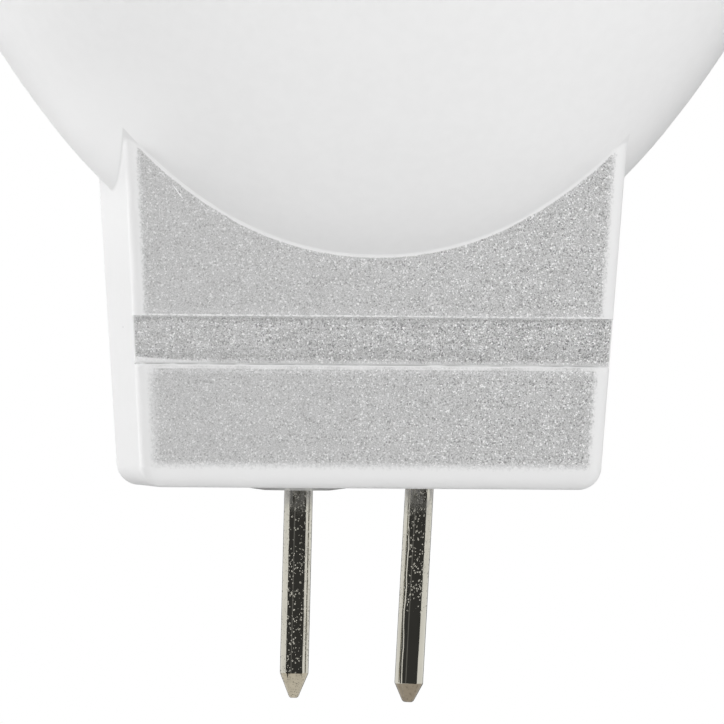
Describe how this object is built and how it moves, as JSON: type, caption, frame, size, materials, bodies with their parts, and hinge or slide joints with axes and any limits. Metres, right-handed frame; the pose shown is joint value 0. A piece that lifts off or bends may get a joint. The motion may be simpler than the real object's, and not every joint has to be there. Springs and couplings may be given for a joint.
{
  "type": "reflector spotlight bulb",
  "caption": "White reflector spotlight bulb with a grooved flat neck and two round contact pins.",
  "frame": {"origin": "centre of the neck's bottom face, midway between the two pins", "axes": "+Z along the bulb's axis towards the lens, X through both pins, the pins point to -Z"},
  "size_m": [0.035, 0.035, 0.0342],
  "materials": {
    "housing_white": "satin, white",
    "pin_nickel": "polished nickel plating, lightly pitted",
    "sealant": "cured white resin",
    "clear_lens": "clear, polished",
    "ring_white": "satin, white",
    "board_white": "white solder mask",
    "board_green": "green solder mask",
    "spreader_metal": "rolled, bare",
    "pad_grey": "soft, matt",
    "screw_steel": "zinc plated",
    "emitter_yellow": "silicone over phosphor",
    "solder": "bright, flowed",
    "wire_tinned": "tinned copper",
    "sleeve_white": "extruded tube",
    "capacitor_black": "shrunk sleeve",
    "ferrite": "sintered, matt",
    "winding_copper": "enamelled copper wire",
    "component_black": "moulded epoxy",
    "resistor_dark": "glazed",
    "capacitor_tan": "sintered, matt"
  },
  "bodies": {
    "root": {"housing": "housing_white", "pin_left": "pin_nickel", "pin_right": "pin_nickel", "seal_bead": "sealant", "front_lens": "clear_lens", "retaining_ring": "ring_white", "light_board": "board_white", "emitter_1": "emitter_yellow", "emitter_2": "emitter_yellow", "emitter_3": "emitter_yellow", "board_screws": "screw_steel", "thermal_pad": "pad_grey", "heat_spreader": "spreader_metal", "link_negative": "wire_tinned", "link_positive": "wire_tinned", "link_sleeves": "sleeve_white", "link_solder": "solder", "driver_board": "board_green", "pin_solder": "solder", "bridge_rectifier": "component_black", "smoothing_capacitor": "capacitor_black", "inductor_core": "ferrite", "inductor_winding": "winding_copper", "driver_chip": "component_black", "sense_resistors": "resistor_dark", "ceramic_capacitors": "capacitor_tan", "schottky_diode": "component_black"}
  },
  "joints": []
}
